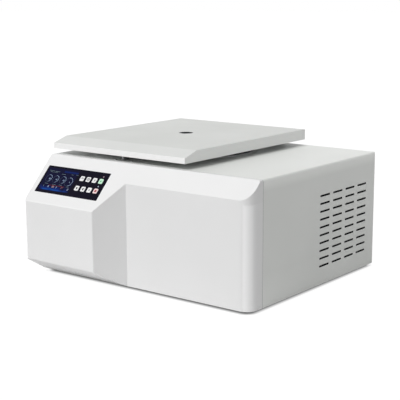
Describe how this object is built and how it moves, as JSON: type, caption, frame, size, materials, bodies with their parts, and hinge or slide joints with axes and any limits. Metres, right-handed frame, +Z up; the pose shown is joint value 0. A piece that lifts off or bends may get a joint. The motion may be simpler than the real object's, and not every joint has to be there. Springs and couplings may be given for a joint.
{
  "type": "refrigerated benchtop centrifuge",
  "caption": "Refrigerated bench centrifuge with a sloping display block, vented side, bevelled lid over a cooled steel bowl, leaning-pocket rotor, motor, lid lock and cooling unit",
  "frame": {"origin": "on the floor, under the middle of the overall footprint", "axes": "+X to the user's right, +Y to the rear, +Z up; the display faces -Y"},
  "size_m": [0.62, 0.605, 0.3254],
  "materials": {
    "base_pan": "satin",
    "rubber_feet": "matte",
    "foot_screws": "satin",
    "front_bezel": "satin",
    "casing_cover": "satin",
    "rear_panel": "satin",
    "small_screws": "satin",
    "display_window": "gloss",
    "lcd_module": "gloss",
    "display_board": "satin",
    "key_switches": "matte",
    "indicator_lamps": "gloss",
    "body_hinge_leaves": "satin",
    "hinge_pins": "satin",
    "lock_housing": "matte",
    "lock_solenoid": "satin",
    "chamber_bowl": "satin",
    "bowl_gasket": "matte",
    "evaporator_coil": "satin",
    "insulation_foam": "matte",
    "shaft_boot": "matte",
    "motor_housing": "matte",
    "motor_bearings": "polished",
    "motor_stator": "satin",
    "motor_plate": "satin",
    "vibration_dampers": "matte",
    "condenser": "matte",
    "fan_shroud": "matte",
    "compressor": "satin",
    "compressor_grommets": "matte",
    "filter_drier": "satin",
    "refrigerant_pipes": "satin",
    "motor_drive_board": "satin",
    "power_inlet": "matte",
    "mains_switch_body": "matte",
    "fuse_holder": "matte",
    "drain_hose": "matte",
    "lid_shell": "satin",
    "lid_liner": "satin",
    "lid_foam": "matte",
    "lid_screws": "satin",
    "port_tube": "satin",
    "port_window": "gloss",
    "lid_striker": "satin",
    "lid_hinge_leaves": "satin",
    "drive_shaft": "polished",
    "motor_armature": "satin",
    "rotor": "satin",
    "rotor_nut": "satin",
    "fan_impeller": "satin",
    "lock_bolt": "polished",
    "mains_rocker": "gloss",
    "key_speed": "satin",
    "key_time": "satin",
    "key_temperature": "satin",
    "key_start": "satin",
    "key_left": "satin",
    "key_up": "satin",
    "key_right": "satin",
    "key_stop": "satin"
  },
  "bodies": {
    "body": {"base_pan": "base_pan", "rubber_feet": "rubber_feet", "foot_screws": "foot_screws", "front_bezel": "front_bezel", "casing_cover": "casing_cover", "rear_panel": "rear_panel", "small_screws": "small_screws", "display_window": "display_window", "lcd_module": "lcd_module", "display_board": "display_board", "key_switches": "key_switches", "indicator_lamps": "indicator_lamps", "body_hinge_leaves": "body_hinge_leaves", "hinge_pins": "hinge_pins", "lock_housing": "lock_housing", "lock_solenoid": "lock_solenoid", "chamber_bowl": "chamber_bowl", "bowl_gasket": "bowl_gasket", "evaporator_coil": "evaporator_coil", "insulation_foam": "insulation_foam", "shaft_boot": "shaft_boot", "motor_housing": "motor_housing", "motor_bearings": "motor_bearings", "motor_stator": "motor_stator", "motor_plate": "motor_plate", "vibration_dampers": "vibration_dampers", "condenser": "condenser", "fan_shroud": "fan_shroud", "compressor": "compressor", "compressor_grommets": "compressor_grommets", "filter_drier": "filter_drier", "refrigerant_pipes": "refrigerant_pipes", "motor_drive_board": "motor_drive_board", "power_inlet": "power_inlet", "mains_switch_body": "mains_switch_body", "fuse_holder": "fuse_holder", "drain_hose": "drain_hose"},
    "lid": {"lid_shell": "lid_shell", "lid_liner": "lid_liner", "lid_foam": "lid_foam", "lid_screws": "lid_screws", "port_tube": "port_tube", "port_window": "port_window", "lid_striker": "lid_striker", "lid_hinge_leaves": "lid_hinge_leaves"},
    "spindle": {"drive_shaft": "drive_shaft", "motor_armature": "motor_armature", "rotor": "rotor"},
    "nut": {"rotor_nut": "rotor_nut"},
    "fan": {"fan_impeller": "fan_impeller"},
    "bolt": {"lock_bolt": "lock_bolt"},
    "rocker": {"mains_rocker": "mains_rocker"},
    "key_speed": {"key_speed": "key_speed"},
    "key_time": {"key_time": "key_time"},
    "key_temperature": {"key_temperature": "key_temperature"},
    "key_start": {"key_start": "key_start"},
    "key_left": {"key_left": "key_left"},
    "key_up": {"key_up": "key_up"},
    "key_right": {"key_right": "key_right"},
    "key_stop": {"key_stop": "key_stop"}
  },
  "joints": [
    {"name": "lid_hinge", "type": "hinge", "parent": "body", "child": "lid", "pos_m": [-0.1033, 0.2975, 0.2927], "axis": [-1, 0, 0], "range_deg": [0, 78]},
    {"name": "rotor_spin", "type": "hinge", "parent": "body", "child": "spindle", "pos_m": [-0.1033, 0.0605, 0.15], "axis": [0, 0, 1], "continuous": true},
    {"name": "nut_turn", "type": "hinge", "parent": "spindle", "child": "nut", "pos_m": [-0.1033, 0.0605, 0.22344], "axis": [0, 0, 1], "range_deg": [0, 360]},
    {"name": "fan_spin", "type": "hinge", "parent": "body", "child": "fan", "pos_m": [0.2387, 0.1375, 0.1324], "axis": [1, 0, 0], "continuous": true},
    {"name": "bolt_slide", "type": "slide", "parent": "body", "child": "bolt", "axis": [-1, 0, 0], "range_m": [0, 0.015]},
    {"name": "rocker_tilt", "type": "hinge", "parent": "body", "child": "rocker", "pos_m": [0.214, 0.285, 0.062], "axis": [1, 0, 0], "range_deg": [-10, 10]},
    {"name": "key_speed_press", "type": "slide", "parent": "body", "child": "key_speed", "axis": [0, 0.7234, -0.6904], "range_m": [0, 0.0006], "stiffness_N_per_m": 3300},
    {"name": "key_time_press", "type": "slide", "parent": "body", "child": "key_time", "axis": [0, 0.7234, -0.6904], "range_m": [0, 0.0006], "stiffness_N_per_m": 3300},
    {"name": "key_temperature_press", "type": "slide", "parent": "body", "child": "key_temperature", "axis": [0, 0.7234, -0.6904], "range_m": [0, 0.0006], "stiffness_N_per_m": 3300},
    {"name": "key_start_press", "type": "slide", "parent": "body", "child": "key_start", "axis": [0, 0.7234, -0.6904], "range_m": [0, 0.0006], "stiffness_N_per_m": 3300},
    {"name": "key_left_press", "type": "slide", "parent": "body", "child": "key_left", "axis": [0, 0.7234, -0.6904], "range_m": [0, 0.0006], "stiffness_N_per_m": 3300},
    {"name": "key_up_press", "type": "slide", "parent": "body", "child": "key_up", "axis": [0, 0.7234, -0.6904], "range_m": [0, 0.0006], "stiffness_N_per_m": 3300},
    {"name": "key_right_press", "type": "slide", "parent": "body", "child": "key_right", "axis": [0, 0.7234, -0.6904], "range_m": [0, 0.0006], "stiffness_N_per_m": 3300},
    {"name": "key_stop_press", "type": "slide", "parent": "body", "child": "key_stop", "axis": [0, 0.7234, -0.6904], "range_m": [0, 0.0006], "stiffness_N_per_m": 3300}
  ]
}
